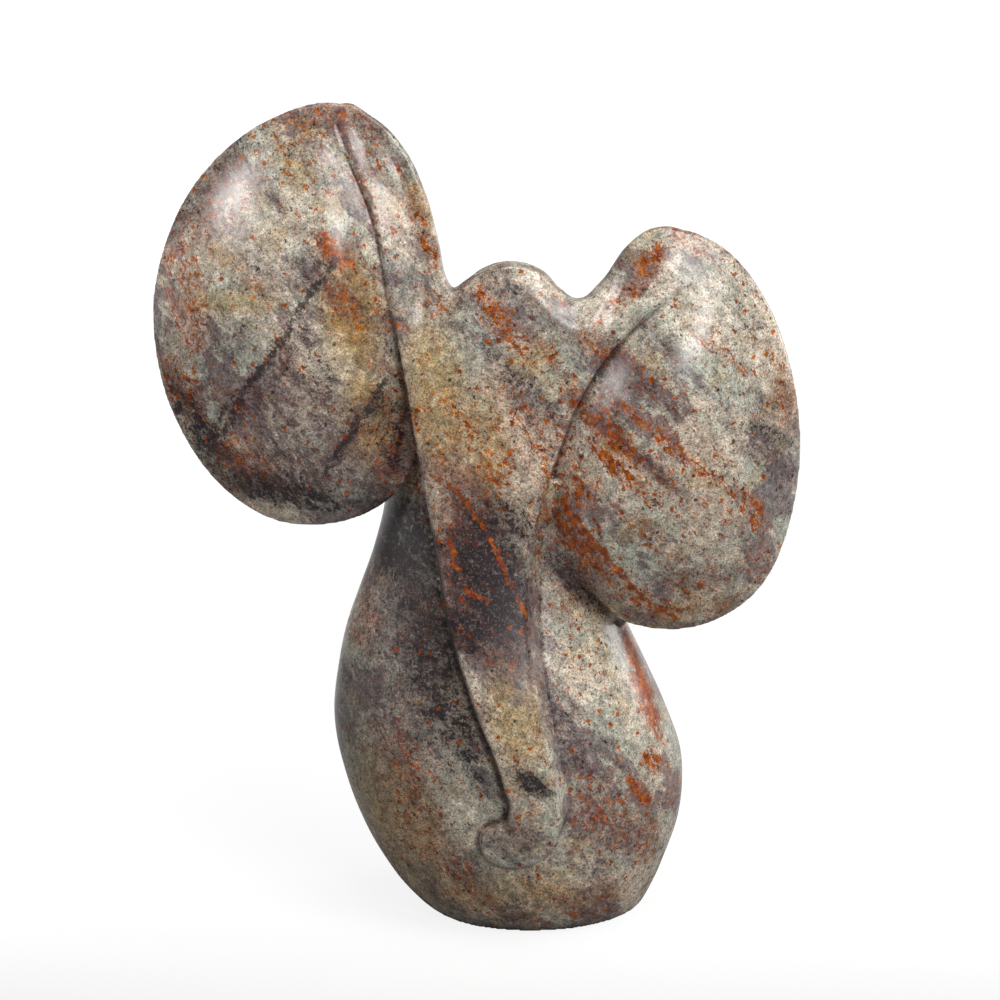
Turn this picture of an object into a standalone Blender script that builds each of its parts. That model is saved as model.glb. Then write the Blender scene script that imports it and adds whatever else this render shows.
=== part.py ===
"""Carved stone elephant: a pear-shaped body cut flat at the foot, two large lens-shaped ears, and a raised
mask that joins the crown, the folds at the ears' inner edges and the trunk that lies down the belly.
It is one piece of stone. Metres, +Z up, the face looks along -Y, the origin is the middle of the foot."""

import math

import bmesh
import bpy
from mathutils import Vector

# Overall height. The outlines and sections below are drawn in grid units, 280 of which make the height.
HEIGHT = 0.280
UNIT = HEIGHT / 280.0

# Thicknesses and edges of the carving, in metres. HOLLOW_LIMIT is the share of an ear's bulge that its hollow
# beside the mask may take away.
EAR_FRONT_BULGE = 0.0155
EAR_BACK_BULGE = 0.009
EAR_RIM_ROUND = 0.0016
HOLLOW_DEPTH = 0.0034
HOLLOW_WIDTH = 0.010
HOLLOW_LIMIT = 0.9
FOLD_BACKING = 0.0026
MASK_THICKNESS = 0.016
MASK_EDGE_ROUND = 0.0012
FOOT_EDGE_ROUND = 0.0015

# How far the ears lean back for each unit up, and sweep back for each unit outwards
EAR_LEAN = 0.07
EAR_SWEEP = 0.10
# The ears' section: how far out the dome stays full, how steeply it falls, and how far out the rim's face runs
EAR_FULLNESS = 2.0
EAR_FALL = 1.0
EAR_RIM_REACH = 10

# How finely the facets are cut
BODY_SIDES = 44
BODY_RINGS = 28
EAR_SPOKES = 48
EAR_RINGS = 16
MASK_GRID = 0.0064
MASK_CURVE_STEPS = 3
CREASE_STEPS = 8
WELD = 1e-6
GRID_SNAP = 2e-5

# Sections of the body and the back of the head:
# height, centre x, centre y, half width, half depth, turn in degrees
BODY_SECTIONS = (
    (0, 0.3, 0.5, 36.5, 27.5, 7),
    (5, -1.2, 0, 40.5, 31, 7),
    (15, -3.2, 0, 46.8, 35.5, 6),
    (34, -5.3, 0, 54.8, 39, 5),
    (54, -8.5, 0, 58.2, 40, 4),
    (71, -12.4, 0, 56.6, 38.3, 3),
    (88, -15.2, 0.5, 52, 34.8, 2),
    (101, -16.9, 1.5, 47.5, 31.8, 1),
    (114, -17.6, 3, 42.3, 29, 0),
    (128, -18.2, 4.5, 36.8, 25.5, 0),
    (142, -18.5, 5.5, 33, 22.5, 0),
    (160, -17.5, 5.5, 32, 20.5, 0),
    (182, -14.5, 4.5, 31, 19, 0),
    (203, -10.5, 2, 25, 15.5, 0),
    (215, -8.5, 0, 17, 11, 0),
    (222, -8, -1.5, 9, 6, 0),
)

# Each ear: its middle (x, y, z), and the points of its edge, from the top and counterclockwise, from the front
LEFT_EAR = {
    "middle": (-80, -5, 209),
    "edge": (
        (-65, 280), (-86, 275.2), (-105, 261.4), (-118.9, 241.5), (-127, 213.5), (-123.6, 183),
        (-111.3, 158.6), (-95, 144), (-77.5, 139.3), (-58, 143.5), (-43.5, 156), (-36, 183),
        (-31, 215), (-35.5, 243), (-47, 268.5),
    ),
}
RIGHT_EAR = {
    "middle": (44, -10, 171),
    "edge": (
        (41, 239.4), (27, 228), (12, 205), (3, 178), (-1, 152), (8, 126), (24, 110),
        (42, 104.3), (59.5, 106.8), (74.8, 117.8), (83.8, 137.3), (87.4, 163), (84.6, 188.4),
        (75.8, 213.6), (60.8, 232.6),
    ),
}

# Outline of the raised mask, from the left fold's tip over the crown and the right fold, and down the trunk.
# A point marked True is a corner.
MASK_OUTLINE = (
    (-64.5, 279.2, False), (-53.8, 275.3, False), (-44.2, 266.3, False), (-37.4, 253, False),
    (-32.3, 234.5, False), (-29.8, 222.6, False), (-27.8, 219.4, True), (-23.5, 221.6, False),
    (-17.5, 225.2, False), (-9, 227, False), (1, 224.3, False), (7.3, 218.6, False),
    (13.2, 215.8, False), (19.8, 221.4, False), (29.6, 234.4, False), (38.8, 239.6, False),
    (48.2, 237.6, False), (53.6, 230.5, False), (51.5, 224, True), (37, 213.8, False),
    (24, 201, False), (14, 185.5, False), (6, 165.5, False), (0, 146, False),
    (-3.8, 127, False), (-3.7, 112, False), (-1, 90, False), (4, 65, False), (6.8, 49, False),
    (4.5, 36, False), (-6, 29, False), (-15, 30.8, False), (-19.2, 39, False),
    (-16, 46, False), (-10.5, 48.7, True), (-13, 63.5, False), (-20, 82.3, False),
    (-28, 106.6, False), (-34, 138, False), (-39, 164, False), (-44.5, 197, False),
    (-49, 221, False), (-53.5, 244, False), (-60.5, 260, False), (-66.5, 271, False),
)
# The stretches of that outline beside which the ears are hollowed, by point number, from the tip downwards
LEFT_CREASE = (44, 43, 42, 41, 40, 39, 38)
RIGHT_CREASE = (18, 19, 20, 21, 22, 23, 24)
# How deep the hollow already is at the crease's top, and the share of the crease in which it reaches full depth
CREASE_START = 0.3
CREASE_FADE = 0.2

# Side view of the mask: height, and how far its face stands in front of the foot's middle
MASK_PROFILE = (
    (26, 39), (31, 43), (38, 45.4), (47, 46.6), (57, 46.6), (70, 45.1), (85, 41.9), (100, 37.4), (115, 32.9),
    (130, 29.4), (145, 26.9), (160, 25), (180, 22.8), (200, 20.8), (212, 19), (222, 16.6), (234, 13.6),
    (282, 6),
)
# Middle line of the mask and how strongly its face is rounded across: height, x, bow
MASK_ACROSS = (
    (25, -6, 0.011), (50, -4, 0.011), (75, -10, 0.010), (100, -16, 0.009), (140, -18, 0.005),
    (180, -15, 0.003), (215, -10, 0.0012), (280, -8, 0.0004),
)
# Where the crown ends and a fold leaves it, and the width and height over which one becomes the other
CROWN_LEFT = -26
CROWN_RIGHT = 14
CROWN_TO_FOLD = 14
FOLD_FOOT = 195
FOLD_FULL = 225
# How far a fold's face stands in front of the ear's middle plane: distance out from the crown, stand
FOLD_STAND = ((0, 8), (12, 9), (22, 8.6), (30, 7), (37, 4.6), (46, 2.6))

STONE_COLOUR = (0.46, 0.42, 0.38, 1.0)
STONE_ROUGHNESS = 0.28


def between(table, key):
    """The other columns of a table at that value of its first column, along a smooth curve through its rows."""
    key = min(max(key, table[0][0]), table[-1][0])
    low = max(i for i in range(len(table) - 1) if table[i][0] <= key)
    span = table[low + 1][0] - table[low][0]
    t = (key - table[low][0]) / span

    def slope(i, column):
        before, after = max(i - 1, 0), min(i + 1, len(table) - 1)
        return (table[after][column] - table[before][column]) / (table[after][0] - table[before][0])

    found = []
    for column in range(1, len(table[0])):
        a, b = table[low][column], table[low + 1][column]
        start, end = slope(low, column) * span, slope(low + 1, column) * span
        found.append(
            a * (2 * t**3 - 3 * t**2 + 1) + start * (t**3 - 2 * t**2 + t)
            + b * (3 * t**2 - 2 * t**3) + end * (t**3 - t**2)
        )
    return found


def round_edge(points, share):
    """The point at that share, 0 to 1, of the closed smooth curve through the points."""
    place = (share % 1.0) * len(points)
    i, t = int(place), place - int(place)
    a, b, c, d = (Vector(points[(i + k - 1) % len(points)]) for k in range(4))
    return 0.5 * (2 * b + (c - a) * t + (2 * a - 5 * b + 4 * c - d) * t**2 + (3 * b - a - 3 * c + d) * t**3)


def ease(value):
    """0 below 0, 1 above 1, and a smooth step between."""
    value = min(max(value, 0.0), 1.0)
    return value * value * (3 - 2 * value)


def ear_plane(ear, x, z):
    """The y value, in grid units, of the ear's middle plane, which leans and sweeps back."""
    middle_x, middle_y, middle_z = ear["middle"]
    outwards = math.copysign(1, middle_x)
    return middle_y + EAR_LEAN * (z - middle_z) + EAR_SWEEP * (x - middle_x) * outwards


def mask_faces(x, z):
    """The y values, in grid units, of the mask's face and back. The folds' follow the ears."""
    (profile,) = between(MASK_PROFILE, z)
    middle, bow = between(MASK_ACROSS, z)
    front = bow * (x - middle) ** 2 - profile
    back = front + MASK_THICKNESS / UNIT

    ear = LEFT_EAR if x < CROWN_LEFT else RIGHT_EAR
    outside = max(CROWN_LEFT - x, x - CROWN_RIGHT)
    (stand,) = between(FOLD_STAND, outside)
    plane = ear_plane(ear, x, z)
    share = ease(outside / CROWN_TO_FOLD) * ease((z - FOLD_FOOT) / (FOLD_FULL - FOLD_FOOT))
    front += (plane - stand - front) * share
    back += (plane + FOLD_BACKING / UNIT - back) * share
    return front, back


def crease_points(numbers):
    """Close-set points along the named stretch of the mask's outline, each with its share of the way down."""
    ends = [Vector(MASK_OUTLINE[n][:2]) for n in numbers]
    found = []
    for i in range(len(ends) - 1):
        for k in range(CREASE_STEPS):
            t = k / CREASE_STEPS
            found.append((ends[i].lerp(ends[i + 1], t), (i + t) / (len(ends) - 1)))
    return found


def hollow(x, z, crease):
    """How deep the ear is cut back beside the mask, in metres, fading out at the top of the crease."""
    point = Vector((x, z))
    near, share = min(crease, key=lambda entry: (entry[0] - point).length)
    distance = (near - point).length * UNIT
    return HOLLOW_DEPTH * ease(CREASE_START + share / CREASE_FADE) * math.exp(-((distance / HOLLOW_WIDTH) ** 2))


def new_object(name, bm, collection):
    """A mesh object from a bmesh, in a collection."""
    bmesh.ops.recalc_face_normals(bm, faces=bm.faces)
    mesh = bpy.data.meshes.new(name)
    bm.to_mesh(mesh)
    bm.free()
    obj = bpy.data.objects.new(name, mesh)
    collection.objects.link(obj)
    return obj


def make_body(collection):
    """The body and the back of the head: a circle extruded ring by ring up from the flat foot."""
    top = BODY_SECTIONS[-1][0]
    rounding = FOOT_EDGE_ROUND / UNIT
    corner = rounding * (1 - math.sqrt(0.5))
    rings = [(0.0, rounding), (corner, corner), (rounding, 0.0)]
    rings += [(rounding + (top - rounding) * i / BODY_RINGS, 0.0) for i in range(1, BODY_RINGS + 1)]

    bm = bmesh.new()
    bmesh.ops.create_circle(bm, cap_ends=True, segments=BODY_SIDES, radius=1.0)
    unit_places = {vert: vert.co.copy() for vert in bm.verts}
    edges = list(bm.edges)
    for number, (height, inset) in enumerate(rings):
        if number:
            made = bmesh.ops.extrude_edge_only(bm, edges=edges)["geom"]
            verts = [item for item in made if isinstance(item, bmesh.types.BMVert)]
            edges = [item for item in made if isinstance(item, bmesh.types.BMEdge)]
            below = {tuple(vert.co): place for vert, place in unit_places.items()}
            unit_places = {vert: below[tuple(vert.co)] for vert in verts}
        x, y, half_width, half_depth, turn = between(BODY_SECTIONS, height)
        cosine, sine = math.cos(math.radians(turn)), math.sin(math.radians(turn))
        for vert, place in unit_places.items():
            side, front = place.x * (half_width - inset), place.y * (half_depth - inset)
            across, deep = side * cosine - front * sine, side * sine + front * cosine
            vert.co = Vector((x + across, y + deep, height)) * UNIT
    bmesh.ops.contextual_create(bm, geom=edges)
    return new_object("stone_elephant", bm, collection)


def make_ear(name, ear, crease_numbers, collection):
    """A lens with a blunt rim: a sphere's spokes are led to the ear's edge and its poles are flattened."""
    middle_x, _, middle_z = ear["middle"]
    centre = Vector((middle_x, middle_z))
    crease = crease_points(crease_numbers)

    bm = bmesh.new()
    bmesh.ops.create_uvsphere(bm, u_segments=EAR_SPOKES, v_segments=EAR_RINGS, radius=1.0)
    for vert in bm.verts:
        reach = min(math.hypot(vert.co.x, vert.co.y), 1.0)
        share = math.atan2(vert.co.y, vert.co.x) / math.tau
        place = centre.lerp(round_edge(ear["edge"], share), reach)
        depth = ear_plane(ear, place.x, place.y) * UNIT
        rim = EAR_RIM_ROUND * math.sqrt(1 - reach**EAR_RIM_REACH)
        dome = (1 - reach**EAR_FULLNESS) ** EAR_FALL
        if vert.co.z > 0:
            cut = min(hollow(place.x, place.y, crease), HOLLOW_LIMIT * EAR_FRONT_BULGE * dome)
            depth -= rim + EAR_FRONT_BULGE * dome - cut
        else:
            depth += rim + EAR_BACK_BULGE * dome
        vert.co = Vector((place.x * UNIT, depth, place.y * UNIT))
    return new_object(name, bm, collection)


def mask_plate():
    """The mask's outline as a flat plate with rounded edges, lying in X and Y, one mesh with welded caps."""
    curve = bpy.data.curves.new("mask_outline", "CURVE")
    curve.dimensions = "2D"
    curve.fill_mode = "BOTH"
    curve.resolution_u = MASK_CURVE_STEPS
    curve.extrude = MASK_THICKNESS / 2 - MASK_EDGE_ROUND
    curve.bevel_depth = MASK_EDGE_ROUND
    curve.bevel_resolution = 1
    curve.offset = -MASK_EDGE_ROUND
    spline = curve.splines.new("BEZIER")
    spline.bezier_points.add(len(MASK_OUTLINE) - 1)
    spline.use_cyclic_u = True
    for point, (x, z, corner) in zip(spline.bezier_points, MASK_OUTLINE):
        point.co = (x * UNIT, z * UNIT, 0)
        point.handle_left_type = point.handle_right_type = "VECTOR" if corner else "AUTO"
    guide = bpy.data.objects.new("mask_outline", curve)
    bpy.context.scene.collection.objects.link(guide)
    graph = bpy.context.evaluated_depsgraph_get()
    mesh = bpy.data.meshes.new_from_object(guide.evaluated_get(graph))
    bpy.data.objects.remove(guide)
    bm = bmesh.new()
    bm.from_mesh(mesh)
    bpy.data.meshes.remove(mesh)
    bmesh.ops.remove_doubles(bm, verts=bm.verts, dist=WELD)
    return bm


def make_mask(collection):
    """The plate is scored into a grid and bent to the head's profile and the belly."""
    bm = mask_plate()
    bmesh.ops.dissolve_limit(bm, angle_limit=math.radians(1), verts=bm.verts, edges=bm.edges)
    for axis in (0, 1):
        low = min(v.co[axis] for v in bm.verts)
        high = max(v.co[axis] for v in bm.verts)
        cuts = int((high - low) / MASK_GRID)
        for i in range(1, cuts):
            place, normal = Vector(), Vector()
            place[axis] = low + (high - low) * i / cuts
            normal[axis] = 1
            geometry = bm.verts[:] + bm.edges[:] + bm.faces[:]
            bmesh.ops.bisect_plane(bm, geom=geometry, plane_co=place, plane_no=normal, dist=GRID_SNAP)
    half = MASK_THICKNESS / 2
    for vert in bm.verts:
        x, z, level = vert.co.x / UNIT, vert.co.y / UNIT, vert.co.z
        front, back = mask_faces(x, z)
        depth = front * UNIT + (half - level) if level > 0 else back * UNIT - (half + level)
        vert.co = Vector((vert.co.x, depth, vert.co.y))
    bmesh.ops.triangulate(bm, faces=bm.faces)
    return new_object("mask", bm, collection)


def stone():
    """Polished mottled stone, as one plain colour."""
    material = bpy.data.materials.new("polished_stone")
    material.use_nodes = True
    shader = material.node_tree.nodes["Principled BSDF"]
    shader.inputs["Base Color"].default_value = STONE_COLOUR
    shader.inputs["Roughness"].default_value = STONE_ROUGHNESS
    shader.inputs["Metallic"].default_value = 0.0
    return material


def main():
    """Clears the scene and makes the elephant."""
    for obj in list(bpy.data.objects):
        bpy.data.objects.remove(obj)
    shown = bpy.data.collections.new("stone_elephant")
    helpers = bpy.data.collections.new("joined_forms")
    for collection in (shown, helpers):
        bpy.context.scene.collection.children.link(collection)

    body = make_body(shown)
    forms = (
        make_ear("left_ear", LEFT_EAR, LEFT_CREASE, helpers),
        make_ear("right_ear", RIGHT_EAR, RIGHT_CREASE, helpers),
        make_mask(helpers),
    )
    for form in forms:
        form.hide_render = True
        form.display_type = "WIRE"
        join = body.modifiers.new("join_" + form.name, "BOOLEAN")
        join.operation = "UNION"
        join.object = form
    body.data.materials.append(stone())
    body.data.shade_smooth()


main()
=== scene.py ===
# Stone elephant, carved from one mottled, polished stone: shape, finish, light and camera.
# Metres, Z up, the face looks along -Y, the origin is the middle of the foot.
import bisect
import math

import bmesh
import bpy
import numpy
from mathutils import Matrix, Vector, noise
from mathutils.bvhtree import BVHTree


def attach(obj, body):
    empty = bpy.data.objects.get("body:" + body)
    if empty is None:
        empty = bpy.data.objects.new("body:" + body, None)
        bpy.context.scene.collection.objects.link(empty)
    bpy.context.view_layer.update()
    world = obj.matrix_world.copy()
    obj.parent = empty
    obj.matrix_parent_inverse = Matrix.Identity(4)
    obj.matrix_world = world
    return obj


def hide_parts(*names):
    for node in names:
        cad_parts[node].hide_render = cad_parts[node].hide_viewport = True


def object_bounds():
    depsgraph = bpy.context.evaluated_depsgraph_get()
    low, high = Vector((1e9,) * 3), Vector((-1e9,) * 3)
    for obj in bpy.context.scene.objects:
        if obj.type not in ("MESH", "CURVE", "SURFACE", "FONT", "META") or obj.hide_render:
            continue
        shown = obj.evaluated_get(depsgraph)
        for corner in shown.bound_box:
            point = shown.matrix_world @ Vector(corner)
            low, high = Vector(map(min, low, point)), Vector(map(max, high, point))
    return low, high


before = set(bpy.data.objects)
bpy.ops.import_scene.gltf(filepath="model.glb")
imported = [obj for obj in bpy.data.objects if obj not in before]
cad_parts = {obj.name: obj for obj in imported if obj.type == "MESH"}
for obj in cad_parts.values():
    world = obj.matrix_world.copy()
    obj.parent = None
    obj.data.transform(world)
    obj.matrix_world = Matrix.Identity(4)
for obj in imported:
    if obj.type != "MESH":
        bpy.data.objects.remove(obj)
cadLow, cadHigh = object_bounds()
drawnHeight = 280  # the outlines below are drawn this high
unit = (cadHigh.z - cadLow.z) / drawnHeight
weld = 1e-6  # points closer than this are one, in metres
print("frame loaded, one drawing unit is", round(unit * 1000, 4), "mm")


# Helpers that all the forms share
def between(table, key):
    # the other columns of a table at that value of its first one, on a smooth curve through the rows
    key = min(max(key, table[0][0]), table[-1][0])
    low = max(i for i in range(len(table) - 1) if table[i][0] <= key)
    span = table[low + 1][0] - table[low][0]
    t = (key - table[low][0]) / span

    def slope(i, column):
        before = max(i - 1, 0)
        after = min(i + 1, len(table) - 1)
        return (table[after][column] - table[before][column]) / (table[after][0] - table[before][0])

    found = []
    for column in range(1, len(table[0])):
        a = table[low][column]
        b = table[low + 1][column]
        start = slope(low, column) * span
        end = slope(low + 1, column) * span
        curve = a * (2 * t**3 - 3 * t**2 + 1) + start * (t**3 - 2 * t**2 + t)
        found.append(curve + b * (3 * t**2 - 2 * t**3) + end * (t**3 - t**2))
    return found


def ease(value):
    value = min(max(value, 0.0), 1.0)
    return value * value * (3 - 2 * value)


def edgePoint(points, share):
    # the point at that share of the closed smooth curve through the points
    place = (share % 1.0) * len(points)
    i = int(place)
    t = place - i
    a, b, c, d = (Vector(points[(i + k - 1) % len(points)]) for k in range(4))
    return 0.5 * (2 * b + (c - a) * t + (2 * a - 5 * b + 4 * c - d) * t**2 + (3 * b - a - 3 * c + d) * t**3)


def linked(name, data):
    obj = bpy.data.objects.new(name, data)
    bpy.context.scene.collection.objects.link(obj)
    return obj


def toObject(name, bm):
    bmesh.ops.recalc_face_normals(bm, faces=bm.faces)
    mesh = bpy.data.meshes.new(name)
    bm.to_mesh(mesh)
    bm.free()
    return linked(name, mesh)


def finishedMesh(obj):
    # the object's mesh with its modifiers applied
    graph = bpy.context.evaluated_depsgraph_get()
    return bpy.data.meshes.new_from_object(obj.evaluated_get(graph))


def fromCurve(curve):
    # the curve's mesh, open for editing
    guide = linked(curve.name, curve)
    mesh = finishedMesh(guide)
    bpy.data.objects.remove(guide)
    bm = bmesh.new()
    bm.from_mesh(mesh)
    bpy.data.meshes.remove(mesh)
    bmesh.ops.remove_doubles(bm, verts=bm.verts, dist=weld)
    return bm


def alongLine(points, steps):
    # close-set points along a broken line, each with its share of the way
    found = []
    for i in range(len(points) - 1):
        start = Vector(points[i])
        end = Vector(points[i + 1])
        for k in range(steps):
            t = k / steps
            found.append((start.lerp(end, t), (i + t) / (len(points) - 1)))
    return found


# Body and the back of the head: a circle drawn up ring by ring from the flat foot
bodyShape = {
    "sides": 160,
    "rings": 140,
    "footRound": 1.5,
    # height, middle x, middle y, half width, half depth, turn in degrees
    "sections": (
        (0, 0.3, 0.5, 36.5, 27.5, 7), (5, -1.2, 0, 40.5, 31, 7), (15, -3.2, 0, 46.8, 35.5, 6),
        (34, -5.3, 0, 54.8, 39, 5), (54, -8.5, 0, 58.2, 40, 4), (71, -12.4, 0, 56.6, 38.3, 3),
        (88, -15.2, 0.5, 52, 34.8, 2), (101, -16.9, 1.5, 47.5, 31.8, 1), (114, -17.6, 3, 42.3, 29, 0),
        (128, -18.2, 4.5, 36.8, 25.5, 0), (142, -18.5, 5.5, 33, 22.5, 0), (160, -17.5, 5.5, 32, 20.5, 0),
        (182, -14.5, 4.5, 31, 19, 0), (203, -10.5, 2, 25, 15.5, 0), (215, -8.5, 0, 17, 11, 0),
        (222, -8, -1.5, 9, 6, 0),
    ),
}


def buildBody(shape):
    top = shape["sections"][-1][0]
    rounding = shape["footRound"]
    corner = rounding * (1 - math.sqrt(0.5))
    rings = [(0.0, rounding), (corner, corner), (rounding, 0.0)]
    rings += [(rounding + (top - rounding) * i / shape["rings"], 0.0) for i in range(1, shape["rings"] + 1)]

    bm = bmesh.new()
    bmesh.ops.create_circle(bm, cap_ends=True, segments=shape["sides"], radius=1.0)
    places = {vert: vert.co.copy() for vert in bm.verts}
    edges = list(bm.edges)
    for number, (height, inset) in enumerate(rings):
        if number:
            made = bmesh.ops.extrude_edge_only(bm, edges=edges)["geom"]
            verts = [item for item in made if isinstance(item, bmesh.types.BMVert)]
            edges = [item for item in made if isinstance(item, bmesh.types.BMEdge)]
            below = {tuple(vert.co): place for vert, place in places.items()}
            places = {vert: below[tuple(vert.co)] for vert in verts}
        x, y, halfWidth, halfDepth, turn = between(shape["sections"], height)
        cosine = math.cos(math.radians(turn))
        sine = math.sin(math.radians(turn))
        for vert, place in places.items():
            side = place.x * (halfWidth - inset)
            front = place.y * (halfDepth - inset)
            spot = Vector((x + side * cosine - front * sine, y + side * sine + front * cosine, height))
            vert.co = spot * unit
    bmesh.ops.contextual_create(bm, geom=edges)
    return toObject("body", bm)


# Ears: lenses with blunt rims, leaning and sweeping back, hollowed a little beside the folds of the mask
earShape = {
    "spokes": 180,
    "rings": 72,
    "edgeSteps": 720,
    "lean": 0.07,
    "sweep": 0.10,
    "frontBulge": 15.5,
    "backBulge": 9,
    "rimRound": 1.6,
    "rimReach": 10,
    "fullness": 2.0,
    "hollowDepth": 3.4,
    "hollowWidth": 10,
    "hollowLimit": 0.9,
    "hollowStart": 0.3,
    "hollowFade": 0.2,
}
leftEar = {
    "middle": (-80, -5, 209),
    "edge": (
        (-65, 280), (-86, 275.2), (-105, 261.4), (-118.9, 241.5), (-127, 213.5), (-123.6, 183),
        (-111.3, 158.6), (-95, 144), (-77.5, 139.3), (-58, 143.5), (-43.5, 156), (-36, 183),
        (-31, 215), (-35.5, 243), (-47, 268.5),
    ),
    "crease": (
        (-66.5, 271), (-60.5, 260), (-53.5, 244), (-49, 221), (-44.5, 197), (-39, 164), (-34, 138),
    ),
}
rightEar = {
    "middle": (44, -10, 171),
    "edge": (
        (41, 239.4), (27, 228), (12, 205), (3, 178), (-1, 152), (8, 126), (24, 110),
        (42, 104.3), (59.5, 106.8), (74.8, 117.8), (83.8, 137.3), (87.4, 163), (84.6, 188.4),
        (75.8, 213.6), (60.8, 232.6),
    ),
    "crease": (
        (51.5, 224), (37, 213.8), (24, 201), (14, 185.5), (6, 165.5), (0, 146), (-3.8, 127),
    ),
}


def earPlane(ear, x, z):
    outwards = math.copysign(1, ear["middle"][0])
    lean = earShape["lean"] * (z - ear["middle"][2])
    return ear["middle"][1] + lean + earShape["sweep"] * (x - ear["middle"][0]) * outwards


def earSwell(reach, bulge):
    # how far the ear swells from its middle plane, by the share of the way from its middle to its edge
    reach = min(reach, 1.0)
    rim = earShape["rimRound"] * math.sqrt(1 - reach ** earShape["rimReach"])
    return rim + bulge * (1 - reach ** earShape["fullness"])


def earRays(ear):
    # the direction and length from the ear's middle to its edge, all the way round
    centre = Vector((ear["middle"][0], ear["middle"][2]))
    rays = []
    for i in range(earShape["edgeSteps"]):
        ray = edgePoint(ear["edge"], i / earShape["edgeSteps"]) - centre
        rays.append((math.atan2(ray.y, ray.x), ray.length))
    rays.sort()
    return [(rays[-1][0] - math.tau, rays[-1][1])] + rays + [(rays[0][0] + math.tau, rays[0][1])]


def earReach(ear, x, z):
    away = Vector((x - ear["middle"][0], z - ear["middle"][2]))
    angle = math.atan2(away.y, away.x)
    i = bisect.bisect(ear["rays"], (angle, 0.0))
    before, after = ear["rays"][i - 1], ear["rays"][i]
    t = (angle - before[0]) / max(after[0] - before[0], 1e-9)
    return away.length / (before[1] + (after[1] - before[1]) * t)


leftEar["rays"] = earRays(leftEar)
rightEar["rays"] = earRays(rightEar)


def buildEar(name, ear, shape):
    centre = Vector((ear["middle"][0], ear["middle"][2]))
    crease = alongLine(ear["crease"], 8)
    bm = bmesh.new()
    bmesh.ops.create_uvsphere(bm, u_segments=shape["spokes"], v_segments=shape["rings"], radius=1.0)
    for vert in bm.verts:
        reach = min(math.hypot(vert.co.x, vert.co.y), 1.0)
        share = math.atan2(vert.co.y, vert.co.x) / math.tau
        place = centre.lerp(edgePoint(ear["edge"], share), reach)
        depth = earPlane(ear, place.x, place.y)
        if vert.co.z > 0:
            near, down = min(crease, key=lambda entry: (entry[0] - place).length)
            fade = ease(shape["hollowStart"] + down / shape["hollowFade"])
            cut = shape["hollowDepth"] * fade * math.exp(-((near - place).length / shape["hollowWidth"]) ** 2)
            swell = earSwell(reach, shape["frontBulge"])
            depth -= swell - min(cut, shape["hollowLimit"] * max(swell - shape["rimRound"], 0))
        else:
            depth += earSwell(reach, shape["backBulge"])
        vert.co = Vector((place.x, depth, place.y)) * unit
    return toObject(name, bm)


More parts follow.
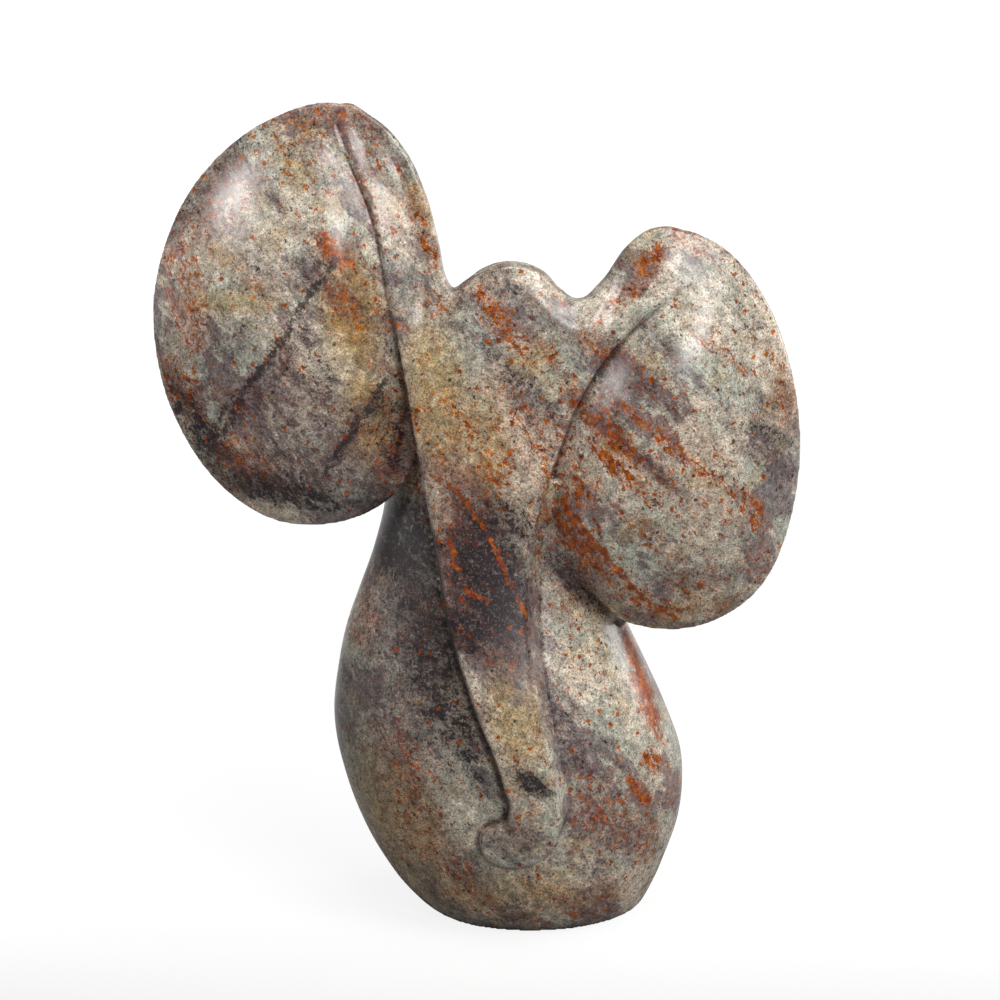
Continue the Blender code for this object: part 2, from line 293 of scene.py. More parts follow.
# Raised mask: crown, the folds at the ears' inner edges, forehead and trunk, with its curl at the end
maskShape = {
    "curveSteps": 10,
    "grid": 1.9,
    "thickness": 16,
    "edgeRound": 1.1,
    "edgeSegments": 3,
    "flatAngle": 0.5,
    "foldBacking": 2.6,
    # x and z of the outline from the left fold's tip over the crown and down the trunk, and its corners
    "outline": (
        (-64.5, 279.2), (-53.8, 275.3), (-44.2, 266.3), (-37.4, 253), (-32.3, 234.5), (-29.8, 222.8),
        (-27.8, 219.6), (-23.5, 222.6), (-17.5, 226.6), (-9, 228.5), (1, 225.8), (7.3, 219.8),
        (13.2, 216.6), (19.8, 221.4), (29.6, 234.4), (38.8, 239.6), (48.2, 237.6), (53.6, 230.5),
        (51.5, 224), (37, 213.8), (24, 201), (14, 185.5), (6, 165.5), (0, 146), (-3.8, 127), (-3.7, 112),
        (-1, 90), (4, 65), (6.8, 49), (4.5, 36), (-6, 29), (-15, 30.8), (-19.2, 37.5), (-18.2, 42),
        (-14.8, 44.6), (-10.2, 46.5), (-9.3, 52), (-11.2, 59), (-14.8, 70.1), (-20, 82.3), (-28, 106.6),
        (-34, 138), (-39, 164), (-44.5, 197), (-49, 221), (-53.5, 244), (-60.5, 260), (-66.5, 271),
    ),
    "corners": ((-27.8, 219.6), (51.5, 224), (-10.2, 46.5)),
    # height, and how far the face stands in front of the foot's middle
    "profile": (
        (26, 39), (31, 43), (38, 45.4), (47, 46.6), (57, 46.6), (70, 45.1), (85, 41.9), (100, 37.4),
        (115, 32.9), (130, 29.4), (145, 26.9), (160, 25), (180, 22.8), (200, 20.8), (212, 19),
        (222, 16.6), (234, 13.6), (282, 6),
    ),
    # height, middle x, and how strongly the face is rounded across
    "across": (
        (25, -6, 0.011), (50, -4, 0.011), (75, -10, 0.010), (100, -16, 0.009), (140, -18, 0.005),
        (180, -15, 0.003), (215, -10, 0.0012), (280, -8, 0.0004),
    ),
    "crownLeft": -26,
    "crownRight": 14,
    "crownToFold": 14,
    # how thick the plate is at the crown, the height from which it thins, and over how far
    "crownThickness": 10.5,
    "thinFrom": 196,
    "thinOver": 16,
    "foldFoot": 195,
    "foldFull": 225,
    # how far a fold stands proud of the ear beside it: its tip, the step, and how far from the tip it grows
    "leftTip": (-66.5, 276, -0.1, 2.4, 46),
    "rightTip": (53.6, 230.5, -0.4, 2.7, 34),
    # how far from a fold's tip the hollow beside it begins and grows, and the least a fold stands out
    "hollowFrom": 6,
    "hollowOver": 22,
    "leastStand": 1.0,
    # the rounded upper edge of the crown and notches: the height from which it is looked for, then x, how
    # wide the edge is rounded over there, and how deep
    "rollFrom": 200,
    "roll": (
        (-34, 1.5, 0.3), (-27, 2, 0.4), (-20, 2.4, 0.7), (-8, 3.2, 1.1), (0, 5, 1.9), (7, 8, 3.2),
        (13, 9.5, 3.8), (19, 8, 3.0), (26, 5, 1.6), (34, 3, 0.7), (42, 2, 0.3),
    ),
    "rollLine": (
        (-32.3, 234.5), (-29.8, 222.6), (-27.8, 219.4), (-23.5, 221.6), (-17.5, 225.2), (-9, 227),
        (1, 224.3), (7.3, 218.6), (13.2, 215.8), (19.8, 221.4), (29.6, 234.4), (38.8, 239.6),
    ),
    # the trunk's right-hand wall slants: slope, and the heights between which it does
    "wallSlant": 0.5,
    "wallHeights": (38, 50, 128, 148),
}


rollPoints = alongLine(maskShape["rollLine"], 8)


def maskFaces(x, z):
    shape = maskShape
    (profile,) = between(shape["profile"], z)
    middle, bow = between(shape["across"], z)
    front = bow * (x - middle) ** 2 - profile
    thin = ease((z - shape["thinFrom"]) / shape["thinOver"])
    back = front + shape["thickness"] + (shape["crownThickness"] - shape["thickness"]) * thin

    ear, tip = (leftEar, shape["leftTip"]) if x < shape["crownLeft"] else (rightEar, shape["rightTip"])
    outside = max(shape["crownLeft"] - x, x - shape["crownRight"])
    away = math.hypot(x - tip[0], z - tip[1])
    step = tip[2] + tip[3] * ease(away / tip[4])
    hollowed = ease(earShape["hollowStart"] + (away - shape["hollowFrom"]) / shape["hollowOver"])
    swell = earSwell(earReach(ear, x, z), earShape["frontBulge"])
    plane = earPlane(ear, x, z)
    stand = max(swell - earShape["hollowDepth"] * hollowed, shape["leastStand"]) + step
    up = ease((z - shape["foldFoot"]) / (shape["foldFull"] - shape["foldFoot"]))
    share = ease(outside / shape["crownToFold"]) * up
    front += (plane - stand - front) * share
    back += (plane + shape["foldBacking"] - back) * share

    if z > shape["rollFrom"]:
        width, depth = between(shape["roll"], x)
        place = Vector((x, z))
        near = min((entry[0] - place).length for entry in rollPoints)
        front += depth * max(0.0, 1 - near / width) ** 2
    return front, back


def maskPlate(shape):
    # the outline as a flat plate with rounded edges
    curve = bpy.data.curves.new("maskOutline", "CURVE")
    curve.dimensions = "2D"
    curve.fill_mode = "BOTH"
    curve.resolution_u = shape["curveSteps"]
    curve.extrude = (shape["thickness"] / 2 - shape["edgeRound"]) * unit
    curve.bevel_depth = shape["edgeRound"] * unit
    curve.bevel_resolution = shape["edgeSegments"]
    curve.offset = -shape["edgeRound"] * unit
    spline = curve.splines.new("BEZIER")
    spline.bezier_points.add(len(shape["outline"]) - 1)
    spline.use_cyclic_u = True
    for point, place in zip(spline.bezier_points, shape["outline"]):
        point.co = (place[0] * unit, place[1] * unit, 0)
        point.handle_left_type = "VECTOR" if place in shape["corners"] else "AUTO"
        point.handle_right_type = point.handle_left_type
    return fromCurve(curve)


def buildMask(shape):
    bm = maskPlate(shape)
    flat = math.radians(shape["flatAngle"])
    bmesh.ops.dissolve_limit(bm, angle_limit=flat, verts=bm.verts, edges=bm.edges)
    for axis in (0, 1):
        low = min(vert.co[axis] for vert in bm.verts)
        high = max(vert.co[axis] for vert in bm.verts)
        cuts = int((high - low) / (shape["grid"] * unit))
        for i in range(1, cuts):
            place = Vector()
            normal = Vector()
            place[axis] = low + (high - low) * i / cuts
            normal[axis] = 1
            geometry = bm.verts[:] + bm.edges[:] + bm.faces[:]
            bmesh.ops.bisect_plane(bm, geom=geometry, plane_co=place, plane_no=normal, dist=2 * weld)
    half = shape["thickness"] / 2
    for vert in bm.verts:
        x = vert.co.x / unit
        z = vert.co.y / unit
        level = vert.co.z / unit
        front, back = maskFaces(x, z)
        depth = front + (half - level) if level > 0 else back - (half + level)
        low, lowFull, highFull, high = shape["wallHeights"]
        slant = ease((z - low) / (lowFull - low)) * ease((high - z) / (high - highFull))
        if x > between(shape["across"], z)[0]:
            x += shape["wallSlant"] * slant * (half - level)
        vert.co = Vector((x, depth, z)) * unit
    bmesh.ops.triangulate(bm, faces=bm.faces)
    return toObject("mask", bm)


# The one stone: the forms are joined, laid over with an even net, and rubbed smooth as by hand
grooveShape = (
    # points, depth at both ends, width
    {"line": ((-65, 273), (-60.5, 260), (-53.5, 244), (-49, 221)), "depth": (0.9, 0.3), "width": 0.9},
    {"line": ((51.5, 224), (37, 213.8), (24, 201), (14, 185.5)), "depth": (0.15, 0.15), "width": 0.9},
    {"line": ((-9.8, 46.5), (-8.4, 40)), "depth": (1.0, 0.1), "width": 2.6},
    # beside the trunk, at the foot of its left wall and of its slanted right wall
    {
        "line": (
            (-40.4, 164), (-35.6, 138), (-29.6, 106.6), (-21.6, 82.3), (-16.2, 70.1), (-12.6, 59),
            (-10.8, 52),
        ),
        "depth": (0.3, 0.5), "width": 0.8,
    },
    {
        "line": ((2, 146), (0.4, 127), (0.4, 112), (3, 90), (8, 65), (10.6, 51)),
        "depth": (0.2, 0.3), "width": 1.4,
    },
    {"line": ((-21.4, 38), (-16.6, 28.6), (-6, 26.6), (6.2, 33.6)), "depth": (0.15, 0.25), "width": 0.8},
)
grooveReach = 2.5  # how many widths from its line a groove is carved
valleyShape = {
    # x, y, z and half width of the soft valley between the right ear and the body, downwards
    "line": (
        (5, -21, 158, 1.5), (3, -20.5, 149.5, 3), (0.7, -20, 141, 5), (2.7, -19, 135.5, 6.5),
        (6, -18, 131, 8), (10, -17, 126, 8.5), (14, -15.5, 120.7, 8.5), (18.2, -14, 115.8, 8),
        (22.3, -12.5, 111.4, 6.5), (26.4, -11, 108.5, 4), (30, -10, 107, 1.5),
    ),
    "shares": (1.0, 0.75, 0.5),
    "rubs": (110, 80, 60),
    # the sides of the box that holds it, and how far behind the mask's face it stops
    "sides": (-10, 40),
    "ends": (100, 160),
    "depths": (-32, 0),
    "clearOfFace": 3.2,
    # a run of stone left standing under the ear's edge: how far behind the line, and how thick
    "fillBehind": 8,
    "fillRadius": 6.5,
    "fillSegments": 6,
}
stoneShape = {
    "voxel": 0.66,
    "overallRubs": 2,
    "hollowRubs": 14,
    "triangles": 190000,
    "footFlat": 0.4,
    "unevenness": 0.16,
    "unevennessSize": 26,
    # a second, finer unevenness: how high against the first, and how many times finer
    "fineShare": 0.4,
    "fineTimes": 2.6,
    "seed": 11,
}


def joinForms(forms, shape):
    body = forms[0]
    for form in forms[1:]:
        join = body.modifiers.new("join" + form.name, "BOOLEAN")
        join.operation = "UNION"
        join.object = form
    net = body.modifiers.new("net", "REMESH")
    net.mode = "VOXEL"
    net.voxel_size = shape["voxel"] * unit
    mesh = finishedMesh(body)
    for form in forms:
        bpy.data.objects.remove(form)
    return mesh


def rub(bm, verts, times):
    for _ in range(times):
        bmesh.ops.smooth_vert(
            bm, verts=verts, factor=0.5, use_axis_x=True, use_axis_y=True, use_axis_z=True
        )


def nearLine(bm, line, width):
    # the front points nearer to the line than the width, each with its distance and its share of the way
    points = alongLine(line, 12)
    lowX = min(point[0] for point in line) - width
    highX = max(point[0] for point in line) + width
    lowZ = min(point[1] for point in line) - width
    highZ = max(point[1] for point in line) + width
    found = []
    for vert in bm.verts:
        x = vert.co.x / unit
        z = vert.co.z / unit
        if lowX < x < highX and lowZ < z < highZ and vert.normal.y < 0:
            place = Vector((x, z))
            near, share = min(points, key=lambda entry: (entry[0] - place).length_squared)
            distance = (near - place).length
            if distance < width:
                found.append((vert, distance, share))
    return found


def buildFill(shape):
    curve = bpy.data.curves.new("valleyFill", "CURVE")
    curve.dimensions = "3D"
    curve.bevel_depth = shape["fillRadius"] * unit
    curve.bevel_resolution = shape["fillSegments"]
    curve.use_fill_caps = True
    spline = curve.splines.new("POLY")
    spline.points.add(len(shape["line"]) - 1)
    for point, (x, y, z, _) in zip(spline.points, shape["line"]):
        point.co = (x * unit, (y + shape["fillBehind"]) * unit, z * unit, 1)
    return toObject("valleyFill", fromCurve(curve))


def carveValley(bm, shape):
    # the ear rolls down into the body in a soft valley, which stops at the trunk's edge
    points = [point for point, _ in alongLine(shape["line"], 8)]
    left, right = shape["sides"]
    lower, upper = shape["ends"]
    near, far = shape["depths"]
    found = []
    for vert in bm.verts:
        place = vert.co / unit
        if left < place.x < right and lower < place.z < upper and near < place.y < far:
            share = min((point.xyz - place).length / point.w for point in points)
            if share < 1 and place.y > maskFaces(place.x, place.z)[0] + shape["clearOfFace"]:
                found.append((vert, share))
    for limit, times in zip(shape["shares"], shape["rubs"]):
        rub(bm, [vert for vert, share in found if share < limit], times)


def carveGroove(bm, shape):
    start, end = shape["depth"]
    for vert, distance, share in nearLine(bm, shape["line"], shape["width"] * grooveReach):
        depth = (start + (end - start) * share) * math.exp(-(distance / shape["width"]) ** 2)
        vert.co.y += depth * unit


def markHollows(mesh, times):
    # how far rubbing would lift each point, in drawing units: above 0 in creases, below 0 on edges; the
    # finish paints shade into the creases by it
    bm = bmesh.new()
    bm.from_mesh(mesh)
    before = [(vert.co.copy(), vert.normal.copy()) for vert in bm.verts]
    rub(bm, bm.verts, times)
    lifts = [(vert.co - place).dot(normal) / unit for vert, (place, normal) in zip(bm.verts, before)]
    bm.free()
    mesh.attributes.new("hollow", "FLOAT", "POINT").data.foreach_set("value", lifts)


def buildStone(shape):
    forms = [
        buildBody(bodyShape),
        buildEar("leftEar", leftEar, earShape),
        buildEar("rightEar", rightEar, earShape),
        buildFill(valleyShape),
        buildMask(maskShape),
    ]
    print("forms made:", [len(form.data.polygons) for form in forms])
    mesh = joinForms(forms, shape)
    print("joined into one net of", len(mesh.polygons), "faces")

    bm = bmesh.new()
    bm.from_mesh(mesh)
    bpy.data.meshes.remove(mesh)
    foot = shape["footFlat"] * unit
    free = [vert for vert in bm.verts if vert.co.z > foot]
    rub(bm, free, shape["overallRubs"])
    carveValley(bm, valleyShape)
    for groove in grooveShape:
        carveGroove(bm, groove)
    rub(bm, free, 1)
    bm.normal_update()
    offset = Vector((shape["seed"], shape["seed"] * 2, shape["seed"] * 3))
    for vert in free:
        place = vert.co / (shape["unevennessSize"] * unit)
        fine = noise.noise(place * shape["fineTimes"] - offset)
        lift = noise.noise(place + offset) + shape["fineShare"] * fine
        vert.co += vert.normal * lift * shape["unevenness"] * unit
    for vert in bm.verts:
        if vert.co.z <= foot:
            vert.co.z = 0.0
    stone = toObject("carvedStone", bm)

    thin = stone.modifiers.new("thin", "DECIMATE")
    thin.ratio = min(1.0, shape["triangles"] / (2 * len(stone.data.polygons)))
    mesh = finishedMesh(stone)
    stone.modifiers.clear()
    stone.data = mesh
    mesh.shade_smooth()
    markHollows(mesh, shape["hollowRubs"])
    print("carved stone:", sum(len(face.vertices) - 2 for face in mesh.polygons), "triangles")
    return stone


# Finish: mottled stone in procedural nodes. Marks are placed where they are seen in a 1000 wide picture
# from the camera, at the depth of the form that carries them.
cameraShape = {
    "elevation": 17,
    "distance": 1.15,
    "target": (-0.01252, 0.0, 0.14509),
    "lens": 123.44,
    "sensor": 36,
    "picture": 1000,
}
stoneColours = {
    "cream": (0.80, 0.76, 0.70),
    "paleGreen": (0.70, 0.70, 0.65),
    "midGrey": (0.45, 0.41, 0.42),
    "purpleGrey": (0.31, 0.25, 0.265),
    "darkPurple": (0.13, 0.09, 0.11),
    "ochre": (0.66, 0.55, 0.34),
    "rust": (0.68, 0.35, 0.09),
    "darkRust": (0.50, 0.19, 0.04),
    "black": (0.05, 0.04, 0.05),
    # the tint of the shade painted into the creases
    "deep": (0.55, 0.46, 0.46),
}
# mineral, with some patches painted shade or painted highlight in its colour, middle column and row, half
# length and width in the picture, turn clockwise, strength
stonePatches = (
    # left ear
    # the cream patch on the left ear's upper left is pale stone and partly a painted highlight
    ("paleGreen", (325, 150), (80, 36), 15, 0.9), ("cream", (250, 230), (75, 42), -25, 0.7),
    ("darkPurple", (212, 182), (60, 18), -50, 0.35), ("rust", (225, 200), (70, 30), -50, 0.4),
    ("rust", (185, 290), (75, 24), 85, 0.6), ("rust", (182, 395), (52, 20), 65, 0.6),
    ("ochre", (232, 302), (55, 14), 0, 0.5), ("ochre", (352, 315), (70, 34), 80, 0.65),
    ("rust", (332, 252), (30, 14), 45, 0.95), ("rust", (345, 305), (40, 16), 60, 0.5),
    ("purpleGrey", (262, 383), (64, 20), -52, 0.8), ("purpleGrey", (225, 345), (50, 30), 20, 0.5),
    ("purpleGrey", (310, 415), (80, 40), 10, 0.55), ("purpleGrey", (355, 425), (40, 16), -52, 0.8),
    ("darkPurple", (198, 428), (64, 18), 57, 0.7), ("darkPurple", (285, 492), (76, 16), 12, 0.75),
    ("ochre", (372, 445), (36, 26), 0, 0.45), ("rust", (240, 455), (60, 20), 40, 0.5),
    ("purpleGrey", (300, 470), (100, 34), 0, 0.75), ("purpleGrey", (380, 480), (46, 24), -60, 0.8),
    ("darkPurple", (388, 430), (60, 18), 80, 0.5), ("ochre", (368, 415), (56, 28), 80, 0.7),
    # left fold
    ("paleGreen", (372, 150), (52, 22), 60, 0.9), ("cream", (392, 235), (46, 14), 72, 0.45),
    ("rust", (416, 212), (30, 12), 70, 0.6), ("rust", (430, 250), (26, 10), 72, 0.7),
    ("rust", (434, 304), (24, 14), 40, 0.6), ("purpleGrey", (402, 300), (40, 14), 78, 0.4),
    # crown, face and right fold
    ("ochre", (438, 395), (85, 34), 80, 0.6), ("ochre", (482, 440), (60, 30), 80, 0.5),
    ("rust", (500, 322), (48, 13), 55, 0.7), ("rust", (545, 350), (34, 10), 50, 0.5),
    ("purpleGrey", (530, 398), (54, 18), 45, 0.65), ("purpleGrey", (500, 362), (34, 10), 50, 0.5),
    ("paleGreen", (568, 335), (34, 24), 0, 0.6), ("cream", (510, 286), (60, 18), 0, 0.95),
    ("cream", (602, 300), (30, 16), -30, 0.7), ("rust", (622, 300), (56, 12), -42, 0.55),
    ("rust", (652, 260), (24, 14), -40, 0.65), ("rust", (595, 345), (30, 14), 45, 0.6),
    # trunk
    ("purpleGrey", (482, 580), (92, 50), 80, 0.98), ("darkPurple", (472, 630), (44, 26), 40, 0.75),
    ("darkPurple", (505, 520), (40, 20), 30, 0.6), ("darkPurple", (490, 580), (86, 38), 75, 0.9),
    ("purpleGrey", (510, 668), (36, 22), 60, 0.6), ("cream", (524, 728), (44, 18), 78, 0.1),
    ("ochre", (515, 715), (60, 30), 78, 0.6),
    ("darkPurple", (532, 785), (26, 11), 30, 0.95), ("purpleGrey", (515, 838), (36, 20), 10, 0.6),
    # right ear
    # the cream patch at the right ear's upper middle is pale stone and partly a painted highlight
    ("cream", (705, 320), (62, 34), 50, 0.8), ("rust", (690, 242), (42, 12), 30, 0.55),
    ("rust", (602, 425), (66, 22), 50, 0.65), ("rust", (572, 482), (44, 26), 50, 0.65),
    ("rust", (582, 545), (66, 14), 48, 0.8), ("rust", (650, 602), (60, 12), 18, 0.6),
    ("purpleGrey", (645, 380), (64, 14), 40, 0.8), ("purpleGrey", (660, 340), (40, 9), 38, 0.5),
    # the first purple-grey patch here, at the right ear's lower left by the valley, is partly painted shade
    ("purpleGrey", (565, 528), (44, 16), 45, 0.7), ("purpleGrey", (700, 578), (54, 12), -8, 0.5),
    ("paleGreen", (735, 385), (50, 26), 20, 0.7), ("cream", (702, 500), (54, 26), 20, 0.85),
    # the long cream patch along the right ear's outer edge is pale stone and partly painted light
    ("cream", (772, 365), (90, 30), 75, 0.95),
    ("darkPurple", (765, 433), (30, 9), 20, 0.5), ("rust", (752, 510), (32, 14), 60, 0.7),
    ("rust", (784, 400), (34, 10), 85, 0.45), ("rust", (655, 432), (84, 8), 38, 0.78),
    ("rust", (700, 470), (70, 8), 35, 0.7), ("rust", (618, 470), (70, 9), 42, 0.8),
    ("purpleGrey", (640, 458), (74, 8), 40, 0.95), ("rust", (720, 352), (50, 7), 38, 0.6),
    # body
    # the dark purple patches beside the trunk's left edge are dark stone and partly the trunk's painted
    # shadow; the dark purple patch on the neck under the left ear is mostly painted shade
    ("purpleGrey", (400, 670), (140, 54), 88, 0.68), ("darkPurple", (428, 650), (120, 30), 76, 0.72),
    ("darkPurple", (458, 725), (80, 15), 70, 0.7), ("darkPurple", (402, 540), (60, 40), 60, 0.98),
    ("ochre", (400, 815), (90, 40), 60, 0.5), ("rust", (368, 612), (30, 10), 80, 0.4),
    ("cream", (600, 670), (84, 30), 65, 0.15), ("purpleGrey", (572, 745), (64, 14), 60, 0.65),
    ("purpleGrey", (600, 795), (54, 22), 40, 0.5), ("rust", (645, 698), (54, 9), 72, 0.98),
    ("rust", (652, 760), (16, 11), 70, 0.98), ("rust", (640, 792), (20, 10), 60, 0.9),
    ("purpleGrey", (618, 835), (56, 24), 20, 0.6), ("ochre", (500, 892), (110, 20), 2, 0.5),
    ("cream", (405, 850), (100, 44), 40, 0.9),
    # these two patches in the valley under the right ear are painted shade in the stone's purple-grey
    ("darkPurple", (572, 580), (56, 16), 48, 0.45), ("purpleGrey", (570, 560), (60, 30), 48, 0.7),
    # where the stone is coarse and less polished
    ("coarse", (385, 700), (190, 70), 88, 1.0), ("coarse", (480, 880), (130, 36), 0, 0.7),
    ("coarse", (480, 600), (110, 50), 78, 0.6),
)
patchDepth = 12  # how far a patch reaches in depth, in drawing units, so that it stays on its own form
patchFade = 1.4  # how far out a patch has faded away, in its own half sizes
# colour, columns and rows along it, depth, width in the picture, strength
stoneVeins = (
    ("darkPurple", ((205, 450), (225, 430), (245, 390), (275, 345)), -14, 6, 0.90),
    ("darkPurple", ((275, 345), (300, 305), (325, 272), (336, 255)), -14, 6, 0.90),
    ("darkPurple", ((210, 442), (225, 405), (240, 385)), -12, 4, 0.80),
    ("darkPurple", ((325, 470), (340, 445), (358, 415), (375, 395), (386, 376)), -12, 6, 0.90),
    ("darkPurple", ((235, 140), (250, 175)), -10, 1.8, 0.80),
    ("rust", ((478, 290), (510, 335), (545, 370)), -18, 7, 0.62),
    ("darkPurple", ((490, 355), (525, 388), (562, 422)), -24, 8, 0.62),
    ("rust", ((455, 490), (480, 525), (500, 560), (525, 610)), -28, 4, 0.82),
    ("rust", ((450, 545), (465, 590), (486, 602)), -32, 4, 0.88),
    ("rust", ((580, 415), (620, 445), (660, 490)), -20, 8, 0.62),
    ("rust", ((560, 500), (600, 545), (640, 590), (672, 617)), -18, 7, 0.85),
    ("rust", ((590, 510), (625, 560), (665, 600)), -18, 4, 0.60),
    ("rust", ((625, 648), (645, 695), (655, 732)), -24, 8, 0.85),
    ("darkPurple", ((545, 700), (570, 750), (600, 795)), -38, 7, 0.55),
)


def shown(colour, alpha=1.0):
    # a colour as it looks on the screen, as the linear colour that the nodes work in
    return tuple(((c + 0.055) / 1.055) ** 2.4 for c in colour) + (alpha,)


def cameraView():
    # the camera's place in drawing units, its right, up and forward, and the length that gives pixels
    elevation = math.radians(cameraShape["elevation"])
    forward = Vector((0, math.cos(elevation), -math.sin(elevation)))
    eye = (Vector(cameraShape["target"]) - cameraShape["distance"] * forward) / unit
    up = Vector((0, math.sin(elevation), math.cos(elevation)))
    focal = cameraShape["lens"] / cameraShape["sensor"] * cameraShape["picture"]
    return eye, Vector((1, 0, 0)), up, forward, focal


def sightLine(column, row):
    eye, right, up, forward, focal = cameraView()
    middle = cameraShape["picture"] / 2
    return eye, (right * (column - middle) / focal + up * (middle - row) / focal + forward).normalized()


def seenAt(column, row, depth):
    # x and z of the point at that depth which the camera sees at that column and row
    eye, ray = sightLine(column, row)
    place = eye + ray * (depth - eye.y) / ray.y
    return place.x, place.z


def smooth(values):
    values = numpy.clip(values, 0, 1)
    return values * values * (3 - 2 * values)


def markMineralsAndPaintedLight(mesh, patches):
    # one attribute for each mineral: how dense its placed patches are at each point; a few patches are
    # painted shade or painted highlight
    points = numpy.empty(len(mesh.vertices) * 3)
    mesh.vertices.foreach_get("co", points)
    points = points.reshape(-1, 3) / unit
    corners = [face.vertices for face in mesh.polygons]
    surface = BVHTree.FromPolygons([tuple(point) for point in points], corners)
    eye, right, up, forward, focal = cameraView()
    away = points - numpy.array(eye)
    depths = away @ numpy.array(forward)
    middle = cameraShape["picture"] / 2
    columns = middle + focal * (away @ numpy.array(right)) / depths
    rows = middle - focal * (away @ numpy.array(up)) / depths
    found = {}
    for mineralOrLight, (column, row), (long, short), turn, strength in patches:
        place = surface.ray_cast(*sightLine(column, row))[0]
        depth = (place - eye).dot(forward)
        cosine = math.cos(math.radians(turn))
        sine = math.sin(math.radians(turn))
        along = ((columns - column) * cosine + (rows - row) * sine) / long
        across = ((rows - row) * cosine - (columns - column) * sine) / short
        inside = smooth(patchFade - numpy.hypot(along, across))
        near = smooth(2 - numpy.abs(depths - depth) / patchDepth)
        found[mineralOrLight] = numpy.maximum(found.get(mineralOrLight, 0.0), inside * near * strength)
    for mineralOrLight, values in found.items():
        mesh.attributes.new(mineralOrLight, "FLOAT", "POINT").data.foreach_set("value", values)
    print("marked patches of", ", ".join(found))


def addNode(tree, kind, inputs=None, **settings):
    node = tree.nodes.new("ShaderNode" + kind)
    for name, value in settings.items():
        setattr(node, name, value)
    for name, value in (inputs or {}).items():
        if isinstance(value, bpy.types.NodeSocket):
            tree.links.new(value, node.inputs[name])
        else:
            node.inputs[name].default_value = value
    return node


def maths(tree, operation, first, second, third=0.0, clamp=False):
    inputs = {0: first, 1: second, 2: third}
    return addNode(tree, "Math", inputs, operation=operation, use_clamp=clamp).outputs[0]


def vectors(tree, operation, first, second):
    return addNode(tree, "VectorMath", {0: first, 1: second}, operation=operation).outputs[0]


def scaled(tree, vector, scale):
    return addNode(tree, "VectorMath", {0: vector, "Scale": scale}, operation="SCALE").outputs[0]


def ranged(tree, value, low, high, toLow=0.0, toHigh=1.0, kind="SMOOTHSTEP"):
    # a number that runs from toLow to toHigh as the value runs from low to high
    inputs = {"Value": value, "From Min": low, "From Max": high, "To Min": toLow, "To Max": toHigh}
    return addNode(tree, "MapRange", inputs, interpolation_type=kind).outputs["Result"]


def mixColours(tree, share, first, second, blend="MIX"):
    node = addNode(tree, "Mix", {0: share, 6: first, 7: second}, data_type="RGBA", blend_type=blend)
    return node.outputs[2]


def startGroup(name, inputs):
    # a node group that gives a mask; an input that starts as None is a vector
    group = bpy.data.node_groups.new(name, "ShaderNodeTree")
    for socket, value in inputs.items():
        kind = "NodeSocketVector" if value is None else "NodeSocketFloat"
        made = group.interface.new_socket(name=socket, in_out="INPUT", socket_type=kind)
        if value is not None:
            made.default_value = value
    group.interface.new_socket(name="Mask", in_out="OUTPUT", socket_type="NodeSocketFloat")
    start = group.nodes.new("NodeGroupInput").outputs
    end = group.nodes.new("NodeGroupOutput").inputs
    return group, start, end


def seededNoise(group, start):
    # noise at a place that the seed moves
    moved = vectors(group, "ADD", start["Vector"], scaled(group, (17, 31, 47), start["Seed"]))
    inputs = {name: start[name] for name in ("Scale", "Detail", "Roughness")}
    return addNode(group, "TexNoise", {"Vector": moved, **inputs}).outputs["Fac"]


def makeCloudGroup():
    # soft clouds of mineral: 1 inside, 0 outside, with a soft edge from Low to High
    group, start, end = startGroup("mineralCloud", {
        "Vector": None, "Seed": 0.0, "Scale": 0.05, "Detail": 5.0, "Roughness": 0.6,
        "Low": 0.45, "High": 0.6,
    })
    group.links.new(ranged(group, seededNoise(group, start), start["Low"], start["High"]), end["Mask"])
    return group


def startMaterial(name):
    material = bpy.data.materials.new(name)
    material.use_nodes = True
    return material, material.node_tree, material.node_tree.nodes["Principled BSDF"]


fleckEdge = 0.05  # how soft the edge of a fleck is, in the noise it is cut from


def makeFleckGroup():
    # grains of mineral: few and small where the density is low, run together where it is high
    group, start, end = startGroup("mineralFlecks", {
        "Vector": None, "Seed": 0.0, "Scale": 0.6, "Detail": 3.0, "Roughness": 0.65,
        "Rare": 0.68, "Reach": 0.30, "Density": 0.0,
    })
    lift = maths(group, "MULTIPLY", start["Density"], start["Reach"])
    height = maths(group, "ADD", seededNoise(group, start), lift)
    full = maths(group, "ADD", start["Rare"], fleckEdge)
    group.links.new(ranged(group, height, start["Rare"], full), end["Mask"])
    return group


def makeVeinGroup():
    # a straight stretch of vein, seen from the front
    group, start, end = startGroup("placedVein", {
        "Vector": None, "Start": None, "Run": None, "Width": 1.0, "Strength": 1.0,
    })
    flat = vectors(group, "MULTIPLY", start["Vector"], (1, 0, 1))
    away = vectors(group, "SUBTRACT", flat, start["Start"])
    along = addNode(group, "VectorMath", {0: away, 1: start["Run"]}, operation="DOT_PRODUCT")
    whole = addNode(group, "VectorMath", {0: start["Run"], 1: start["Run"]}, operation="DOT_PRODUCT")
    share = maths(group, "DIVIDE", along.outputs["Value"], whole.outputs["Value"], clamp=True)
    off = vectors(group, "SUBTRACT", away, scaled(group, start["Run"], share))
    distance = addNode(group, "VectorMath", {0: off}, operation="LENGTH").outputs["Value"]
    group.links.new(ranged(group, distance, 0.0, start["Width"], start["Strength"], 0.0), end["Mask"])
    return group


